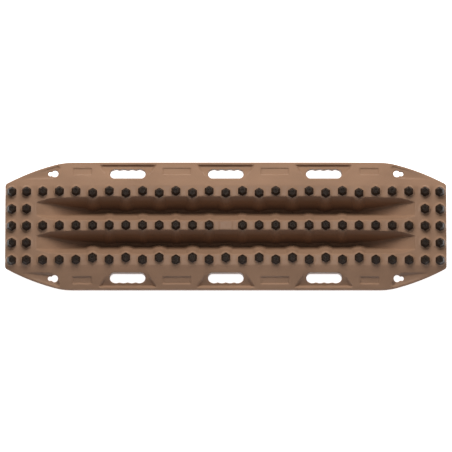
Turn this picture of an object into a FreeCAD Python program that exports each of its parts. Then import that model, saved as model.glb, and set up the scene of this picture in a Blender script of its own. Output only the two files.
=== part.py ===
import FreeCAD
import Part
import math
import os
from FreeCAD import Vector

# A vehicle recovery board: a long moulded plastic shell that is laid in front of a bogged wheel.
# Three ridges carry rows of screwed-on metal teeth, and two V-shaped channels between them reach
# down to the ground like the hulls of a catamaran. Side flanges hold six hand holes and four
# keyholes for mounting pins. +X runs along the board, +Z is up, and the origin is on the ground
# below the board's centre. All sizes are in millimetres.

# ---- overall ----
LENGTH = 1150.0
WIDTH = 335.0
WALL = 4.8                  # vertical wall thickness of the moulding
FAR = 400.0                 # reach of cutting shapes past the board's sides

# ---- outline, seen from above ----
SIDE_ARC_START_X = 400.0    # the straight sides end here
SIDE_ARC_R = 179.0
SIDE_ARC_TURN = math.radians(14.6)
TAPER_ARC_R = 568.0
CORNER_R = 8.0

# ---- heights ----
HULL_BOTTOM_Z = 3.0
RIM_W = 6.0                 # the recesses in the flanges stop this far inside the outline
CREST_Z = 70.0              # top of the ridges in the middle of the board
CREST_END_Z = 47.5          # top of the end plates at the board's tips
CREST_FLAT_X = 245.0        # the crest is flat as far as this, then falls along an arc
SKIRT_Z = 31.0              # lower edge of the side skirts
SKIRT_END_Z = 36.0          # lower edge of the end skirts
SKIRT_RISE_X = (430.0, 500.0)
SKIRT_T = 4.5

# ---- crest and side flanges ----
CREST_HALF_W = 104.0
FLANGE_RUN = 63.0           # the flange falls FLANGE_FALL over this distance
FLANGE_FALL = 20.0
FLANGE_REACH = 1.1          # the flange is built this much wider, then trimmed to the outline

# ---- channels ----
CHANNEL_Y = 43.9
CHANNEL_FLOOR_Z = 7.0
CHANNEL_FLOOR_HALF_W = 4.0
CHANNEL_FLARE = 0.434       # sideways growth of the V per millimetre of height
CHANNEL_TOP_Z = 96.0
RAMP_START_X = 300.0        # the floor is level up to here, then rises along an arc
CHANNEL_TIP_X = 493.0
CHANNEL_TIP_HALF_W = 19.0
CHANNEL_TIP_STEP = 1.2      # depth at the very tip
CHANNEL_SHOULDER_X = 458.0  # the walls draw together from here to the tip
TIP_WEDGE_Z = 20.0
CHANNEL_WALL = 4.9          # horizontal wall thickness of the V

# ---- rows of teeth ----
PITCH = 43.3
ROW_LAST = 11               # rows run from -ROW_LAST to ROW_LAST
OUTER_ROW_Y = 89.7
INNER_ROW_Y = 84.6          # every second tooth of an outer row is set inwards
STAGGER_LAST = 8            # as far along the row as this
TIP_COLUMN_X = 557.4
SECOND_COLUMN_X = 518.6
COLUMN_INNER_Y = 44.5
SEAT_R = 15.0
SEAT_RISE = 1.0
SEAT_DEPTH = 9.0
BULGE_R = 16.8              # cone that carries a tooth out over the channel
BULGE_FLARE = 0.405
BULGE_TOP_Z = 90.0

# ---- one tooth and its screw ----
TOOTH_FLATS = 23.2
TOOTH_CORNER_R = 12.8       # the corners are turned down to this radius
TOOTH_BASE_H = 2.6
TOOTH_H = 13.0
TOOTH_TOP_FLATS = 14.0
TOOTH_CUP_R = 3.6
TOOTH_CUP_DEPTH = 1.2
TOOTH_EDGE_R = 0.7
TOOTH_BORE_R = 3.05
TOOTH_BORE_DEPTH = 9.5
PILLAR_R = 8.5
GRIP = 9.5                  # board material between the tooth and the screw head
SCREW_HOLE_R = 3.3
SCREW_R = 2.95
SCREW_REACH = 18.0
SCREW_FLANGE_R = 6.6
SCREW_FLANGE_H = 1.3
SCREW_HEAD_R = 5.0
SCREW_HEAD_H = 4.2
SCREW_SOCKET_FLATS = 4.0
SCREW_SOCKET_DEPTH = 2.4

# ---- hand holes ----
HANDLE_X = (-255.5, 0.0, 255.5)
HANDLE_Y = 135.1
HANDLE_LENGTH = 92.5
HANDLE_HALF_W = 11.7
FINGERS = 4
FINGER_DEPTH = 2.2
FINGER_MARGIN = 3.5         # the scallops start this far in from the hole's ends
HANDLE_END_R = 9.5
COLLAR_T = 3.5
COLLAR_Z = 20.0

# ---- keyholes for mounting pins ----
PIN_X = 445.5
PIN_Y = 137.0
PIN_R = 9.0
PIN_SLOT_R = 5.7
PIN_SLOT_SHIFT = 12.2
PIN_COLLAR_T = 3.5
COLLAR_Z = 20.0
PIN_COLLAR_Z = 36.5

# ---- blank label recesses on the flange pads ----
LABELS = ((127.8, 73.0), (374.0, 50.0))     # distance from the centre, length
LABEL_Y = (133.5, 151.5)
LABEL_DEPTH = 3.0
LABEL_CUT_H = 20.0
BADGE = (33.0, 25.0, 1.2)   # blank pad in place of the middle row's centre tooth

# ---- ribs and cleats under the board ----
RIB_T = 2.6
RIB_Z = 40.0
END_RIB_Y = (-67.0, -22.3, 22.3, 67.0)
CLEAT_SIZE = (13.0, 19.0, 9.0)
CLEAT_LAST = 7


def flat_face(spots):
    return Part.Face(Part.makePolygon(spots + spots[:1]))


def flat_solid(low, high):
    """Solid with flat faces between two polygons that have the same number of corners."""
    faces = [flat_face(low), flat_face(high)]
    for i in range(len(low)):
        j = (i + 1) % len(low)
        faces.append(flat_face([low[i], low[j], high[j], high[i]]))
    return Part.makeSolid(Part.Shell(faces))


def moved_edges(points, moves):
    """Polygon whose edge i, from point i to i + 1, has moved outwards by moves[i].
    The points run anticlockwise."""
    count = len(points)
    lines = []
    for i in range(count):
        (ax, ay), (bx, by) = points[i], points[(i + 1) % count]
        run = math.hypot(bx - ax, by - ay)
        dx, dy = (bx - ax) / run, (by - ay) / run
        lines.append((ax + dy * moves[i], ay - dx * moves[i], dx, dy))
    corners = []
    for i in range(count):
        px, py, pdx, pdy = lines[i - 1]
        qx, qy, qdx, qdy = lines[i]
        cross = pdx * qdy - pdy * qdx
        t = ((qx - px) * qdy - (qy - py) * qdx) / cross
        corners.append((px + pdx * t, py + pdy * t))
    return corners


def flared_prism(points, z_low, z_high, moves):
    """Solid between a plan polygon and the same polygon with its edges moved outwards."""
    low = [Vector(x, y, z_low) for x, y in points]
    high = [Vector(x, y, z_high) for x, y in moved_edges(points, moves)]
    return flat_solid(low, high)


def mirrored(points, flip_x, flip_y):
    """Polygon reflected in X, Y or both, still anticlockwise."""
    changed = [(-x if flip_x else x, -y if flip_y else y) for x, y in points]
    return changed[::-1] if flip_x != flip_y else changed


# ---- heights along the board ----
def crest_arc_radius():
    run, fall = LENGTH / 2 - CREST_FLAT_X, CREST_Z - CREST_END_Z
    return (run * run + fall * fall) / (2 * fall)


def crest_z(x):
    """Height of the crest at x."""
    over = max(abs(x) - CREST_FLAT_X, 0.0)
    radius = crest_arc_radius()
    return CREST_Z - radius + math.sqrt(radius * radius - over * over)


def crest_slope(x):
    over = max(abs(x) - CREST_FLAT_X, 0.0)
    return over / math.sqrt(crest_arc_radius() ** 2 - over * over)


def seat_z(x):
    """Top of the flat seat that a tooth at x stands on."""
    return crest_z(x) + SEAT_RISE + SEAT_R * crest_slope(x)


# ---- plan outline ----
def outline_prism(inset, z_low, z_high):
    """Upright solid inside the board's outline, moved inwards by inset."""
    end_x = LENGTH / 2 - inset
    half = WIDTH / 2 - inset
    side_r, taper_r = SIDE_ARC_R - inset, TAPER_ARC_R - inset
    sin_t, cos_t = math.sin(SIDE_ARC_TURN), math.cos(SIDE_ARC_TURN)
    side_c = (SIDE_ARC_START_X, half - side_r)
    taper_c = (side_c[0] - (taper_r - side_r) * sin_t, side_c[1] - (taper_r - side_r) * cos_t)
    join = (side_c[0] + side_r * sin_t, side_c[1] + side_r * cos_t)
    mid_side = (side_c[0] + side_r * math.sin(SIDE_ARC_TURN / 2),
                side_c[1] + side_r * math.cos(SIDE_ARC_TURN / 2))
    end_y = taper_c[1] + math.sqrt(taper_r ** 2 - (end_x - taper_c[0]) ** 2)
    mid_x = (join[0] + end_x) / 2
    mid_taper = (mid_x, taper_c[1] + math.sqrt(taper_r ** 2 - (mid_x - taper_c[0]) ** 2))
    start = (SIDE_ARC_START_X, half)
    end = (end_x, end_y)

    def spot(point, sx, sy):
        return Vector(sx * point[0], sy * point[1], z_low)

    edges = []
    for sx, sy in ((1, 1), (1, -1), (-1, -1), (-1, 1)):
        edges.append(Part.Arc(spot(start, sx, sy), spot(mid_side, sx, sy), spot(join, sx, sy)).toShape())
        edges.append(Part.Arc(spot(join, sx, sy), spot(mid_taper, sx, sy), spot(end, sx, sy)).toShape())
    for sx in (1, -1):
        edges.append(Part.makeLine(spot(end, sx, 1), spot(end, sx, -1)))
        edges.append(Part.makeLine(spot(start, 1, sx), spot(start, -1, sx)))
    wire = Part.Wire(Part.__sortEdges__(edges))
    solid = Part.Face(wire).extrude(Vector(0, 0, z_high - z_low))
    corners = [e for e in solid.Edges
               if e.Length > z_high - z_low - 0.01 and len(e.Vertexes) == 2
               and abs(e.Vertexes[0].X - e.Vertexes[1].X) < 0.01
               and abs(abs(e.Vertexes[0].X) - end_x) < 0.01]
    return solid.makeFillet(max(CORNER_R - inset, 2.0), corners)


# ---- the moulding's upper form ----
def crest_face(drop, y):
    """Side view of the crest as a face at y, its top lowered by drop."""
    edge_x = LENGTH / 2 + 5.0
    low_z = -FAR / 8

    def spot(x, z):
        return Vector(x, y, z - drop)

    mid_x = (edge_x + CREST_FLAT_X) / 2
    edges = [
        Part.makeLine(spot(-CREST_FLAT_X, CREST_Z), spot(CREST_FLAT_X, CREST_Z)),
        Part.makeLine(spot(-edge_x, low_z), spot(edge_x, low_z)),
    ]
    for side in (-1, 1):
        edges.append(Part.Arc(spot(side * CREST_FLAT_X, CREST_Z), spot(side * mid_x, crest_z(mid_x)),
                              spot(side * edge_x, crest_z(edge_x))).toShape())
        edges.append(Part.makeLine(spot(side * edge_x, low_z), spot(side * edge_x, crest_z(edge_x))))
    return Part.Face(Part.Wire(Part.__sortEdges__(edges)))


# Plans of the recesses at RECESS_LOW_Z, how far each of their edges leans outwards up to
# RECESS_TOP_Z, and the sections of their floors as (distance from the centre line, height).
RECESS_LOW_Z = 30.0
RECESS_TOP_Z = 72.0
HANDLE_RECESS = [(-8.5, 108), (8.5, 108), (46, 147), (-46, 147)]
HANDLE_RECESS_FLARE = (0, 25, 27, 25)
HANDLE_FLOOR = [(104, 71), (116, 66.2), (130, 60.2), (140, 54.5), (150, 48), (157, 44.5), (200, 44.5)]
END_RECESS = [(467, 142), (640, 126), (640, 200), (448, 200), (450, 156)]
END_RECESS_FLARE = (34, 0, 0, 48, 40)
END_FLOOR = [(90, 52.1), (200, 35.1)]


def recess_cutters(drop, grow):
    """Solids that sink the surroundings of the hand holes and keyholes into the flanges."""
    recesses = [(HANDLE_RECESS, HANDLE_RECESS_FLARE, HANDLE_FLOOR, x, False) for x in HANDLE_X]
    recesses += [(END_RECESS, END_RECESS_FLARE, END_FLOOR, 0.0, flip_x) for flip_x in (False, True)]
    cutters = []
    for points, flare, floor, shift, flip_x in recesses:
        for flip_y in (False, True):
            plan = mirrored(moved_edges(points, [grow] * len(points)), flip_x, flip_y)
            moves = order_after_flip(flare) if flip_x != flip_y else flare
            plan = [(x + shift, y) for x, y in plan]
            prism = flared_prism(plan, RECESS_LOW_Z - drop, RECESS_TOP_Z - drop, moves)
            cutters.append(prism.common(above_section(floor, -1 if flip_y else 1, drop)))
    return cutters


def above_section(floor, side, drop):
    """Space above a floor that runs the board's whole length, lowered by drop."""
    section = floor + [(floor[-1][0], CHANNEL_TOP_Z), (floor[0][0], CHANNEL_TOP_Z)]
    points = [Vector(-LENGTH, side * y, z - drop) for y, z in section]
    return flat_face(points).extrude(Vector(2 * LENGTH, 0, 0))


def order_after_flip(values):
    """Edge values in the order that a reflected, reversed polygon has them."""
    reversed_values = list(values)[::-1]
    return reversed_values[1:] + reversed_values[:1]


def upper_form(drop, grow):
    """Everything under the board's upper surface, without channels or seats. With drop and grow
    at the wall thickness it is everything under the inner surface."""
    crest = crest_face(drop, -CREST_HALF_W).extrude(Vector(0, 2 * CREST_HALF_W, 0))
    flanges = [crest_face(drop, side * CREST_HALF_W).extrude(
        Vector(0, side * FLANGE_REACH * FLANGE_RUN, -FLANGE_REACH * FLANGE_FALL)) for side in (-1, 1)]
    cutters = recess_cutters(drop, grow)
    if not drop:
        inside_rim = outline_prism(RIM_W, 0, CHANNEL_TOP_Z)
        cutters = [cutter.common(inside_rim) for cutter in cutters]
    return crest.fuse(flanges).cut(cutters)


# ---- channels ----
def ramp_radius():
    """Radius of the arc that the channel floor follows from level up to the tip."""
    run = CHANNEL_TIP_X - RAMP_START_X
    rise = crest_z(CHANNEL_TIP_X) - CHANNEL_TIP_STEP - CHANNEL_FLOOR_Z
    return (run * run + rise * rise) / (2 * rise)


def above_floor(drop, reach, side):
    """Slab of space above the floor of one channel, lowered by drop and longer by reach."""
    radius, end_x, z = ramp_radius(), CHANNEL_TIP_X + reach, CHANNEL_FLOOR_Z - drop
    start_y = side * CHANNEL_Y - FAR / 2

    def spot(x, height):
        return Vector(x, start_y, height)

    def rise(x):
        return z + radius - math.sqrt(radius ** 2 - (x - RAMP_START_X) ** 2)

    mid_x = (RAMP_START_X + end_x) / 2
    edges = [Part.makeLine(spot(-RAMP_START_X, z), spot(RAMP_START_X, z)),
             Part.makeLine(spot(-end_x, CHANNEL_TOP_Z), spot(end_x, CHANNEL_TOP_Z))]
    for way in (-1, 1):
        edges.append(Part.Arc(spot(way * RAMP_START_X, z), spot(way * mid_x, rise(mid_x)),
                              spot(way * end_x, rise(end_x))).toShape())
        edges.append(Part.makeLine(spot(way * end_x, rise(end_x)), spot(way * end_x, CHANNEL_TOP_Z)))
    return Part.Face(Part.Wire(Part.__sortEdges__(edges))).extrude(Vector(0, FAR, 0))


def tip_wedges(side, wall):
    """Solids that draw the channel's walls together at its tips."""
    shoulder_half = CHANNEL_FLOOR_HALF_W + CHANNEL_FLARE * (crest_z(CHANNEL_SHOULDER_X) - CHANNEL_FLOOR_Z)
    lean = CHANNEL_FLARE * (CHANNEL_TOP_Z - TIP_WEDGE_Z)
    at_crest = CHANNEL_FLARE * (crest_z(CHANNEL_SHOULDER_X) - TIP_WEDGE_Z)
    near, far = (CHANNEL_SHOULDER_X, shoulder_half), (CHANNEL_TIP_X, CHANNEL_TIP_HALF_W)
    slope = (far[1] - near[1]) / (far[0] - near[0])
    back, front = near[0] - FAR / 4, far[0] + FAR / 4
    triangle = [(back, near[1] + slope * (back - near[0])), (front, near[1] + slope * (front - near[0])),
                (front, FAR), (back, FAR)]
    plan = moved_edges(triangle, (at_crest - wall, 0, 0, 0))
    wedges = []
    for flip_x in (False, True):
        for flip_y in (False, True):
            moves = (-lean, 0, 0, 0)
            moves = order_after_flip(moves) if flip_x != flip_y else moves
            points = [(x, y + side * CHANNEL_Y) for x, y in mirrored(plan, flip_x, flip_y)]
            wedges.append(flared_prism(points, TIP_WEDGE_Z, CHANNEL_TOP_Z, moves))
    return wedges


def channel(side, wall):
    """One channel as a solid. With wall above 0 it is the outside of the channel's walls."""
    drop = CHANNEL_FLOOR_Z - HULL_BOTTOM_Z if wall else 0.0
    floor_z = CHANNEL_FLOOR_Z - drop
    floor_half = CHANNEL_FLOOR_HALF_W + wall - CHANNEL_FLARE * drop
    top_half = floor_half + CHANNEL_FLARE * (CHANNEL_TOP_Z - floor_z)
    y = side * CHANNEL_Y
    section = [(y - floor_half, floor_z), (y + floor_half, floor_z),
               (y + top_half, CHANNEL_TOP_Z), (y - top_half, CHANNEL_TOP_Z)]
    vee = flat_face([Vector(-LENGTH / 2, a, z) for a, z in section]).extrude(Vector(LENGTH, 0, 0))
    solid = vee.common(above_floor(drop, wall, side))
    return solid.cut(tip_wedges(side, wall) + bulges(side, wall))


def bulges(side, wall):
    """Cones that carry every second tooth out over the channel on this side."""
    low_r = BULGE_R - wall + BULGE_FLARE * CREST_Z
    high_r = BULGE_R - wall - BULGE_FLARE * (BULGE_TOP_Z - CREST_Z)
    cones = []
    for i in range(-STAGGER_LAST, STAGGER_LAST + 1):
        y = side * INNER_ROW_Y if i % 2 == 0 else 0.0
        cones.append(Part.makeCone(low_r, high_r, BULGE_TOP_Z, Vector(i * PITCH, y, 0)))
    return cones


# ---- teeth places ----
def tooth_places():
    """Groups of tooth positions: name to list of (x, y)."""
    outer, inner = [], []
    for i in range(-ROW_LAST, ROW_LAST + 1):
        staggered = abs(i) <= STAGGER_LAST and i % 2 == 0
        (inner if staggered else outer).append(i * PITCH)
    column_y = (-OUTER_ROW_Y, -COLUMN_INNER_Y, 0.0, COLUMN_INNER_Y, OUTER_ROW_Y)
    return {
        "left_row_outer": [(x, OUTER_ROW_Y) for x in outer],
        "left_row_inner": [(x, INNER_ROW_Y) for x in inner],
        "right_row_outer": [(x, -OUTER_ROW_Y) for x in outer],
        "right_row_inner": [(x, -INNER_ROW_Y) for x in inner],
        "middle_row_front": [(i * PITCH, 0.0) for i in range(1, ROW_LAST + 1)],
        "middle_row_rear": [(-i * PITCH, 0.0) for i in range(1, ROW_LAST + 1)],
        "front_tip": [(TIP_COLUMN_X, y) for y in column_y],
        "front_second": [(SECOND_COLUMN_X, y) for y in column_y],
        "rear_tip": [(-TIP_COLUMN_X, y) for y in column_y],
        "rear_second": [(-SECOND_COLUMN_X, y) for y in column_y],
    }


def all_places():
    return [place for places in tooth_places().values() for place in places]


# ---- holes ----
def handle_wire(x, side, grow, z):
    """Plan of a hand hole: straight towards the ridge and scalloped for fingers outside."""
    half = HANDLE_LENGTH / 2 + grow
    width = HANDLE_HALF_W + grow
    first = FINGER_MARGIN - half
    finger = -2 * first / FINGERS

    def spot(a, b):
        return Vector(x + a, side * (HANDLE_Y + b), z)

    edges = [Part.makeLine(spot(-half + HANDLE_END_R, -width), spot(half - HANDLE_END_R, -width))]
    for end in (-1, 1):
        start = spot(end * (half - HANDLE_END_R), -width)
        stop = spot(end * -first, width - FINGER_DEPTH)
        edges.append(Part.Arc(start, spot(end * half, 0), stop).toShape())
    for i in range(FINGERS):
        a, b = first + i * finger, first + (i + 1) * finger
        start = spot(a, width - FINGER_DEPTH if i == 0 else width)
        stop = spot(b, width - FINGER_DEPTH if i == FINGERS - 1 else width)
        edges.append(Part.Arc(start, spot((a + b) / 2, width + FINGER_DEPTH), stop).toShape())
    return Part.Wire(Part.__sortEdges__(edges))


def handle_prisms(grow, z_low, z_high):
    return [Part.Face(handle_wire(x, side, grow, z_low)).extrude(Vector(0, 0, z_high - z_low))
            for x in HANDLE_X for side in (-1, 1)]


def keyholes(grow, z_low):
    """Round holes for mounting pins, each with a narrower slot towards the board's end."""
    solids = []
    height = CREST_Z - z_low
    for sx in (-1, 1):
        for sy in (-1, 1):
            low = Vector(sx * PIN_X, sy * PIN_Y, z_low)
            slot_low = low + Vector(sx * PIN_SLOT_SHIFT, 0, 0)
            slot = Part.makeCylinder(PIN_SLOT_R + grow, height, slot_low)
            solids.append(Part.makeCylinder(PIN_R + grow, height, low).fuse(slot))
    return solids


def label_recesses(grow, drop):
    """Blank recesses in the pads, their floors parallel to the surface around them."""
    solids = []
    for x, length in LABELS:
        half = length / 2 + grow
        rise = crest_z(x + half) - crest_z(x - half)
        for sx in (-1, 1):
            for sy in (-1, 1):
                corners = []
                for y in (LABEL_Y[0] - grow, LABEL_Y[1] + grow):
                    surface_z = crest_z(x - half) - FLANGE_FALL * (y - CREST_HALF_W) / FLANGE_RUN
                    corners.append(Vector(sx * (x - half), sy * y, surface_z - LABEL_DEPTH - drop))
                corners += [corner + Vector(0, 0, LABEL_CUT_H) for corner in reversed(corners)]
                solids.append(flat_face(corners).extrude(Vector(sx * 2 * half, 0, rise)))
    return solids


# ---- underside ----
def belly():
    """Everything below the skirts' lower edge."""
    end_x, low_z = LENGTH / 2 + 20, -FAR / 3
    flat_x, rise_x = SKIRT_RISE_X
    points = [(-end_x, low_z), (end_x, low_z), (end_x, SKIRT_END_Z), (rise_x, SKIRT_END_Z),
              (flat_x, SKIRT_Z), (-flat_x, SKIRT_Z), (-rise_x, SKIRT_END_Z), (-end_x, SKIRT_END_Z)]
    return flat_face([Vector(x, -FAR, z) for x, z in points]).extrude(Vector(0, 2 * FAR, 0))


def ribs():
    """Cross ribs between the teeth, and lengthwise ribs under the end plates."""
    height = CREST_Z - RIB_Z
    between_ends = (TIP_COLUMN_X + SECOND_COLUMN_X) / 2
    past_rows = (ROW_LAST * PITCH + SECOND_COLUMN_X) / 2
    places = [(i + 0.5) * PITCH for i in range(-ROW_LAST, ROW_LAST)]
    places += [-between_ends, -past_rows, past_rows, between_ends]
    slabs = [Part.makeBox(RIB_T, 2 * FAR, height, Vector(x - RIB_T / 2, -FAR, RIB_Z)) for x in places]
    run = LENGTH / 2 - past_rows
    for y in END_RIB_Y:
        for low_x in (-LENGTH / 2, past_rows):
            slabs.append(Part.makeBox(run, RIB_T, height, Vector(low_x, y - RIB_T / 2, RIB_Z)))
    return slabs


def pillars():
    """Solid bosses below the crest that the screws pass through."""
    return [Part.makeCylinder(PILLAR_R, GRIP + 2, Vector(x, y, seat_z(x) - GRIP)) for x, y in all_places()]


def cleats(side):
    """Blocks under a channel's floor that grip the ground."""
    length, width, height = CLEAT_SIZE
    low_y = side * CHANNEL_Y - width / 2
    return [Part.makeBox(length, width, height, Vector(i * PITCH - length / 2, low_y, 0))
            for i in range(-CLEAT_LAST, CLEAT_LAST + 1)]


def board_shell():
    """The one-piece moulding."""
    top = upper_form(0, 0).common(outline_prism(0, -SKIRT_Z, CHANNEL_TOP_Z))
    top = top.cut([channel(side, 0) for side in (-1, 1)])
    raised = [Part.makeCylinder(SEAT_R, SEAT_DEPTH, Vector(x, y, seat_z(x) - SEAT_DEPTH))
              for x, y in all_places()]
    length, width, rise = BADGE
    raised.append(Part.makeBox(length, width, WALL + rise, Vector(-length / 2, -width / 2, CREST_Z - WALL)))
    top = top.fuse(raised)

    void = upper_form(WALL, WALL).common(outline_prism(SKIRT_T, -SKIRT_Z, CHANNEL_TOP_Z))
    backing = label_recesses(WALL, WALL) + keyholes(PIN_COLLAR_T, PIN_COLLAR_Z)
    collars = handle_prisms(COLLAR_T, COLLAR_Z, CREST_Z)
    void = void.cut(ribs() + pillars() + backing).fuse(belly()).cut(collars)
    for side in (-1, 1):
        void = void.cut([channel(side, CHANNEL_WALL)] + cleats(side))

    screw_holes = [Part.makeCylinder(SCREW_HOLE_R, 2 * SEAT_DEPTH, Vector(x, y, seat_z(x) - 1.5 * SEAT_DEPTH))
                   for x, y in all_places()]
    holes = screw_holes + handle_prisms(0, 0, CREST_Z) + keyholes(0, 0) + label_recesses(0, 0)
    return top.cut(void).cut(holes)


# ---- hardware ----
def hexagon(flats, z):
    """Corners of a hexagon, two of them towards +Y and -Y."""
    radius = flats / math.sqrt(3)
    turns = [math.radians(60 * k) for k in range(6)]
    return [Vector(radius * math.sin(turn), radius * math.cos(turn), z) for turn in turns]


def tooth():
    """A six-sided metal tooth with a threaded bore from below, standing on z = 0."""
    base = flat_solid(hexagon(TOOTH_FLATS, 0), hexagon(TOOTH_FLATS, TOOTH_BASE_H))
    spike = flat_solid(hexagon(TOOTH_FLATS, TOOTH_BASE_H), hexagon(TOOTH_TOP_FLATS, TOOTH_H))
    body = base.fuse(spike)
    exposed = [edge for edge in body.Edges if edge.CenterOfMass.z > TOOTH_EDGE_R]
    body = body.makeFillet(TOOTH_EDGE_R, exposed).common(Part.makeCylinder(TOOTH_CORNER_R, TOOTH_H))
    cup = Part.makeCone(TOOTH_CUP_R - TOOTH_CUP_DEPTH, TOOTH_CUP_R, TOOTH_CUP_DEPTH,
                        Vector(0, 0, TOOTH_H - TOOTH_CUP_DEPTH))
    bore = Part.makeCylinder(TOOTH_BORE_R, TOOTH_BORE_DEPTH)
    return body.cut([cup, bore])


def screw():
    """A flanged button-head screw whose head bears on a pillar at z = 0 and points down."""
    shank = Part.makeCylinder(SCREW_R, SCREW_REACH)
    flange = Part.makeCylinder(SCREW_FLANGE_R, SCREW_FLANGE_H, Vector(0, 0, -SCREW_FLANGE_H))
    dome_h = SCREW_HEAD_H - SCREW_FLANGE_H
    dome = Part.makeCone(SCREW_HEAD_R * 0.62, SCREW_HEAD_R, dome_h, Vector(0, 0, -SCREW_HEAD_H))
    socket = flat_solid(hexagon(SCREW_SOCKET_FLATS, -SCREW_HEAD_H),
                        hexagon(SCREW_SOCKET_FLATS, SCREW_SOCKET_DEPTH - SCREW_HEAD_H))
    return shank.fuse([flange, dome]).removeSplitter().cut(socket)


def copies(shape, places, drop):
    """The same piece at each tooth place, its z = 0 put at the seat less drop."""
    solids = []
    for x, y in places:
        one = shape.copy()
        one.translate(Vector(x, y, seat_z(x) - drop))
        solids.append(one)
    return Part.makeCompound(solids)


def main():
    os.makedirs("parts", exist_ok=True)
    board_shell().exportStep("parts/board_shell.step")
    one_tooth, one_screw = tooth(), screw()
    for name, places in tooth_places().items():
        copies(one_tooth, places, 0).exportStep(f"parts/{name}_teeth.step")
        copies(one_screw, places, GRIP).exportStep(f"parts/{name}_screws.step")


main()
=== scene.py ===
import math

import bpy
import numpy as np
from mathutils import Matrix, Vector


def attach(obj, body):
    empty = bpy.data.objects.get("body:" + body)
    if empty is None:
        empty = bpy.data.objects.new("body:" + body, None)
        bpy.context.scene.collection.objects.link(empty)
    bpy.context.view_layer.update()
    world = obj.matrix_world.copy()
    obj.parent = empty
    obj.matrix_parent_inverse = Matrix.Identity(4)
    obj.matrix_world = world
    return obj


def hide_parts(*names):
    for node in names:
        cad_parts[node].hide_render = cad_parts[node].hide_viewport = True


# A vehicle recovery board in tan nylon with black metal teeth, on a pale studio floor.
# The board's moulded skin is made from the CAD shell by rounding its edges. Teeth and screws are
# the CAD's own pieces with better materials. All lengths are in metres.

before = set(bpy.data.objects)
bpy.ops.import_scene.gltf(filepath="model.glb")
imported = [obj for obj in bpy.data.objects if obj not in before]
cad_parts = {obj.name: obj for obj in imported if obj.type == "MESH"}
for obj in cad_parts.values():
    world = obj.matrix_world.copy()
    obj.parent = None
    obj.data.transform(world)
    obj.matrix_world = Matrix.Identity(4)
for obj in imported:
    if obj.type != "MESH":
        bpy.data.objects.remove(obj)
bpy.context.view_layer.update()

MM = 0.001
SKIN_VOXEL = 1.5 * MM
SKIN_FACES = 190000
SKIN_SMOOTHING = 8
LOW_SHADE_HEIGHT = 70 * MM   # the painted-shade ramp counts heights in shares of this

# ---- nylon tones and painted shade ----
RUBBED_NYLON = (0.42, 0.28, 0.195)
# painted shade: the deep brown that hollow creases are darkened towards
HOLLOW_SHADE_NYLON = (0.17, 0.105, 0.07)
# painted shade: darkens the nylon low down, deep in the channels
LOW_SHADE_TONE = (0.52, 0.47, 0.42)          # multiplies the nylon's own tone

# ---- light ----
FLOOR_SIZE = 60.0
FLOOR_GLOW = 0.9        # the studio table is lit from inside, so that shadows on it stay faint
WORLD_STRENGTH = 0.10
KEY_PLACE = (0.0, 2.35, 2.57)
KEY_SIZE = (3.2, 1.4)
KEY_POWER = 134.0
TOP_PLACE = (0.0, 0.34, 3.0)
TOP_SIZE = (0.9, 0.6)
TOP_POWER = 8.0
LOW_PLACE = (0.0, -3.2, 1.25)
LOW_SIZE = (3.4, 0.5)
LOW_POWER = 20.0        # weak and cool, from low on the camera's side
LOW_COLOUR = (0.62, 0.74, 1.0)

# ---- camera ----
CAMERA_TILT = math.radians(6.5)     # away from straight down, towards -Y
CAMERA_DISTANCE = 12.0              # far off, so that the board shows almost no perspective
CAMERA_LENS = 366.7
CAMERA_TARGET = Vector((0.0005, 0.0011, 0.0404))


# ---------------------------------------------------------------- the moulded skin
def apply_modifier(piece, kind, **settings):
    """Adds one modifier and applies it to the piece's mesh."""
    modifier = piece.modifiers.new(kind.lower(), kind)
    for name, value in settings.items():
        setattr(modifier, name, value)
    graph = bpy.context.evaluated_depsgraph_get()
    mesh = bpy.data.meshes.new_from_object(piece.evaluated_get(graph), depsgraph=graph)
    piece.modifiers.clear()
    old, piece.data = piece.data, mesh
    bpy.data.meshes.remove(old)


def edge_values(mesh):
    """How convex (above 0) or hollow (below 0) the surface is at each vertex, averaged a little."""
    count = len(mesh.vertices)
    points = np.empty(count * 3)
    mesh.vertices.foreach_get("co", points)
    points = points.reshape(-1, 3)
    normals = np.empty(count * 3)
    mesh.vertices.foreach_get("normal", normals)
    normals = normals.reshape(-1, 3)
    ends = np.empty(len(mesh.edges) * 2, dtype=np.int64)
    mesh.edges.foreach_get("vertices", ends)
    a, b = ends.reshape(-1, 2).T
    degree = np.bincount(a, minlength=count) + np.bincount(b, minlength=count)

    def neighbours(values):
        total = np.bincount(a, weights=values[b], minlength=count)
        total += np.bincount(b, weights=values[a], minlength=count)
        return total / np.maximum(degree, 1)

    middle = np.stack([neighbours(points[:, k]) for k in range(3)], axis=1)
    lift = np.einsum("ij,ij->i", points - middle, normals)
    for _ in range(2):
        lift = 0.5 * (lift + neighbours(lift))
    return lift / SKIN_VOXEL


def board_skin():
    """The moulding with its edges rounded, as one closed mesh."""
    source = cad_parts["board_shell"]
    skin = bpy.data.objects.new("board_skin", source.data.copy())
    bpy.context.scene.collection.objects.link(skin)
    skin.data.materials.clear()
    apply_modifier(skin, "REMESH", mode="VOXEL", voxel_size=SKIN_VOXEL, adaptivity=0.0)
    apply_modifier(skin, "SMOOTH", factor=0.5, iterations=SKIN_SMOOTHING)
    # these values drive both the paler rubbed-edge wear and the painted shade in hollows
    wear_and_hollow_shade = edge_values(skin.data)
    attribute = skin.data.attributes.new("edge", "FLOAT", "POINT")
    attribute.data.foreach_set("value", wear_and_hollow_shade)
    triangles = sum(len(p.vertices) - 2 for p in skin.data.polygons)
    if triangles > SKIN_FACES:
        apply_modifier(skin, "DECIMATE", ratio=SKIN_FACES / triangles)
    skin.data.shade_smooth()
    return skin


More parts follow.
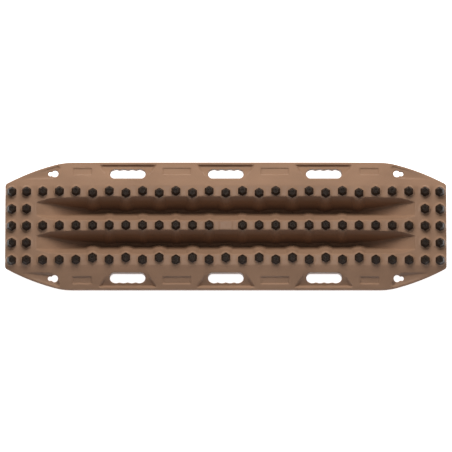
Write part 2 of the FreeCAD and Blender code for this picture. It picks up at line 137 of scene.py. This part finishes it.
# ---------------------------------------------------------------- materials
class Nodes:
    """Short calls for building a material's node tree."""

    def __init__(self, name):
        self.material = bpy.data.materials.new(name)
        self.material.use_nodes = True
        self.tree = self.material.node_tree
        self.shader = self.tree.nodes["Principled BSDF"]
        self.place = self.tree.nodes.new("ShaderNodeTexCoord").outputs["Object"]

    def link(self, source, socket):
        self.tree.links.new(source, socket)

    def add(self, kind, **inputs):
        node = self.tree.nodes.new("ShaderNode" + kind)
        for name, value in inputs.items():
            socket = node.inputs[name.replace("_", " ")]
            if isinstance(value, bpy.types.NodeSocket):
                self.link(value, socket)
            else:
                socket.default_value = value
        return node

    def noise(self, scale, detail=4.0, roughness=0.55, stretch=None):
        place = self.place
        if stretch:
            mapping = self.add("Mapping", Vector=place, Scale=stretch)
            place = mapping.outputs["Vector"]
        node = self.add("TexNoise", Vector=place, Scale=scale, Detail=detail, Roughness=roughness)
        return node.outputs["Fac"]

    def ramp(self, value, *stops):
        """Colour or grey ramp. A stop is (position, level) or (position, (r, g, b))."""
        node = self.add("ValToRGB", Fac=value)
        elements = node.color_ramp.elements
        while len(elements) < len(stops):
            elements.new(0.5)
        for element, (position, level) in zip(elements, stops):
            element.position = position
            colour = level if isinstance(level, tuple) else (level, level, level)
            element.color = (*colour, 1.0)
        return node.outputs["Color"]

    def mix(self, share, low, high, blend="MIX"):
        node = self.tree.nodes.new("ShaderNodeMix")
        node.data_type = "RGBA"
        node.blend_type = blend
        for value, socket in ((share, node.inputs[0]), (low, node.inputs[6]), (high, node.inputs[7])):
            if isinstance(value, bpy.types.NodeSocket):
                self.link(value, socket)
            else:
                socket.default_value = value if isinstance(value, float) else (*value, 1.0)
        return node.outputs[2]

    def maths(self, operation, a, b):
        node = self.tree.nodes.new("ShaderNodeMath")
        node.operation = operation
        for value, socket in ((a, node.inputs[0]), (b, node.inputs[1])):
            if isinstance(value, bpy.types.NodeSocket):
                self.link(value, socket)
            else:
                socket.default_value = value
        return node.outputs[0]

    def bump(self, height, distance, strength=1.0, under=None):
        node = self.add("Bump", Height=height, Distance=distance, Strength=strength)
        if under:
            self.link(under, node.inputs["Normal"])
        return node.outputs["Normal"]


def nylon():
    """Tan glass-filled nylon: fine moulded grain, faint flow marks, paler rubbed edges, painted shade in
    the hollow creases, and painted shade low down in the channels, where the nylon is also duller."""
    n = Nodes("moulded_nylon")
    body = n.ramp(n.noise(5.0, detail=5.0), (0.3, (0.293, 0.169, 0.104)), (0.7, (0.322, 0.190, 0.118)))
    flow = n.ramp(n.noise(18.0, detail=3.0, stretch=(0.35, 1.0, 1.0)), (0.35, 0.93), (0.65, 1.05))
    speckle = n.ramp(n.noise(900.0, detail=2.0), (0.3, 0.92), (0.7, 1.06))
    body = n.mix(1.0, body, flow, "MULTIPLY")
    body = n.mix(1.0, body, speckle, "MULTIPLY")
    edge = n.add("Attribute")
    edge.attribute_name = "edge"
    patchy = n.ramp(n.noise(70.0, detail=6.0), (0.35, 0.25), (0.65, 1.0))
    rubbed = n.maths("MULTIPLY", n.ramp(edge.outputs["Fac"], (0.05, 0.0), (0.25, 0.6)), patchy)
    body = n.mix(rubbed, body, RUBBED_NYLON)
    # Painted shade: hollow creases are darkened towards a deep brown.
    hollow = n.ramp(n.maths("MULTIPLY", edge.outputs["Fac"], -1.0), (0.03, 0.0), (0.25, 0.25))
    body = n.mix(hollow, body, HOLLOW_SHADE_NYLON)
    # Painted shade: below about 40 mm the nylon is darkened, deep in the channels, and it is also made
    # duller there.
    height = n.add("SeparateXYZ", Vector=n.place).outputs["Z"]
    above_low_shade = n.ramp(n.maths("MULTIPLY", height, 1 / LOW_SHADE_HEIGHT), (0.12, 0.0), (0.55, 1.0))
    low_shaded_body = n.mix(1.0, body, LOW_SHADE_TONE, "MULTIPLY")
    body = n.mix(above_low_shade, low_shaded_body, body)
    n.link(body, n.shader.inputs["Base Color"])
    sheen = n.ramp(n.noise(120.0, detail=4.0), (0.3, 0.34), (0.7, 0.44))
    n.link(n.mix(above_low_shade, (0.9, 0.9, 0.9), sheen), n.shader.inputs["Roughness"])
    grain = n.bump(n.noise(1400.0, detail=3.0), 0.12 * MM, 0.6)
    waves = n.bump(n.noise(45.0, detail=2.0), 0.25 * MM, 0.5, under=grain)
    n.link(waves, n.shader.inputs["Normal"])
    n.shader.inputs["IOR"].default_value = 1.5
    return n.material


def black_alloy():
    """Black hard-anodised alloy: satin, with bare metal showing through at the rubbed edges."""
    n = Nodes("black_alloy")
    tone = n.ramp(n.noise(160.0, detail=4.0), (0.3, (0.016, 0.0095, 0.006)), (0.7, (0.032, 0.020, 0.013)))
    bevel = n.add("Bevel", Radius=0.8 * MM)
    geometry = n.tree.nodes.new("ShaderNodeNewGeometry")
    facing = n.tree.nodes.new("ShaderNodeVectorMath")
    facing.operation = "DOT_PRODUCT"
    n.link(bevel.outputs["Normal"], facing.inputs[0])
    n.link(geometry.outputs["Normal"], facing.inputs[1])
    patchy = n.ramp(n.noise(420.0, detail=5.0), (0.42, 0.0), (0.62, 1.0))
    rubbed = n.maths("MULTIPLY", n.ramp(facing.outputs["Value"], (0.90, 0.5), (0.985, 0.0)), patchy)
    n.link(n.mix(rubbed, tone, (0.22, 0.20, 0.18)), n.shader.inputs["Base Color"])
    n.link(n.ramp(n.noise(300.0, detail=3.0), (0.3, 0.34), (0.7, 0.5)), n.shader.inputs["Roughness"])
    n.link(n.bump(n.noise(1800.0, detail=2.0), 0.05 * MM, 0.5), n.shader.inputs["Normal"])
    n.shader.inputs["Metallic"].default_value = 0.35
    n.shader.inputs["IOR"].default_value = 1.45
    return n.material


def screw_steel():
    """Plain stainless steel with fine turning marks and a little grime."""
    n = Nodes("stainless_steel")
    tone = n.ramp(n.noise(240.0, detail=5.0), (0.35, (0.30, 0.29, 0.28)), (0.65, (0.52, 0.51, 0.50)))
    n.link(tone, n.shader.inputs["Base Color"])
    n.link(n.ramp(n.noise(500.0, detail=3.0), (0.3, 0.25), (0.7, 0.45)), n.shader.inputs["Roughness"])
    turned = n.noise(900.0, detail=2.0, stretch=(0.2, 0.2, 3.0))
    n.link(n.bump(turned, 0.03 * MM, 0.5), n.shader.inputs["Normal"])
    n.shader.inputs["Metallic"].default_value = 1.0
    return n.material


def floor_material():
    """Pale matt studio paper."""
    n = Nodes("studio_floor")
    n.link(n.ramp(n.noise(1.3), (0.3, 0.93), (0.7, 0.95)), n.shader.inputs["Base Color"])
    n.shader.inputs["Roughness"].default_value = 0.9
    n.shader.inputs["Emission Color"].default_value = (1.0, 1.0, 1.0, 1.0)
    n.shader.inputs["Emission Strength"].default_value = FLOOR_GLOW
    return n.material


# ---------------------------------------------------------------- the studio
def studio():
    """Floor, soft lights and the pale surroundings."""
    bpy.ops.mesh.primitive_plane_add(size=FLOOR_SIZE)
    floor = bpy.context.object
    floor.name = "studio_floor"
    floor.data.materials.append(floor_material())
    world = bpy.data.worlds.new("studio")
    world.use_nodes = True
    background = world.node_tree.nodes["Background"]
    background.inputs["Color"].default_value = (1.0, 1.0, 1.0, 1.0)
    seen = world.node_tree.nodes.new("ShaderNodeLightPath").outputs["Is Camera Ray"]
    strength = world.node_tree.nodes.new("ShaderNodeMapRange")
    strength.inputs["To Min"].default_value = WORLD_STRENGTH
    world.node_tree.links.new(seen, strength.inputs["Value"])
    world.node_tree.links.new(strength.outputs["Result"], background.inputs["Strength"])
    bpy.context.scene.world = world
    key = area_light("key", KEY_PLACE, KEY_SIZE, KEY_POWER)
    key.visible_glossy = False
    area_light("top", TOP_PLACE, TOP_SIZE, TOP_POWER)
    low = area_light("low", LOW_PLACE, LOW_SIZE, LOW_POWER)
    low.data.color = LOW_COLOUR
    low.visible_glossy = False


def area_light(name, place, size, power):
    """Soft box that faces the frame's origin, under the board's centre."""
    light = bpy.data.lights.new(name, "AREA")
    light.shape = "RECTANGLE"
    light.size, light.size_y = size
    light.energy = power
    lamp = bpy.data.objects.new(name, light)
    lamp.location = place
    lamp.rotation_mode = "QUATERNION"
    lamp.rotation_quaternion = (-Vector(place)).to_track_quat("-Z", "Y")
    bpy.context.scene.collection.objects.link(lamp)
    return lamp


def camera():
    """Looks down at the board from above, a little from the -Y side."""
    data = bpy.data.cameras.new("camera")
    data.lens = CAMERA_LENS
    eye = bpy.data.objects.new("camera", data)
    back = Vector((0.0, -math.sin(CAMERA_TILT), math.cos(CAMERA_TILT)))
    eye.location = CAMERA_TARGET + CAMERA_DISTANCE * back
    eye.rotation_euler = (CAMERA_TILT, 0.0, 0.0)
    bpy.context.scene.collection.objects.link(eye)
    bpy.context.scene.camera = eye


# ---------------------------------------------------------------- putting it together
def finish_node(node, material):
    """Gives a CAD node its finish without touching its shape."""
    for material_slot in node.material_slots:
        material_slot.material = material


camera()
studio()
bpy.context.scene.view_settings.view_transform = "Standard"

skin = board_skin()
skin.data.materials.append(nylon())
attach(skin, "root")
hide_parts("board_shell")

alloy, steel = black_alloy(), screw_steel()
for name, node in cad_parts.items():
    if name.endswith("_teeth"):
        finish_node(node, alloy)
    if name.endswith("_screws"):
        finish_node(node, steel)
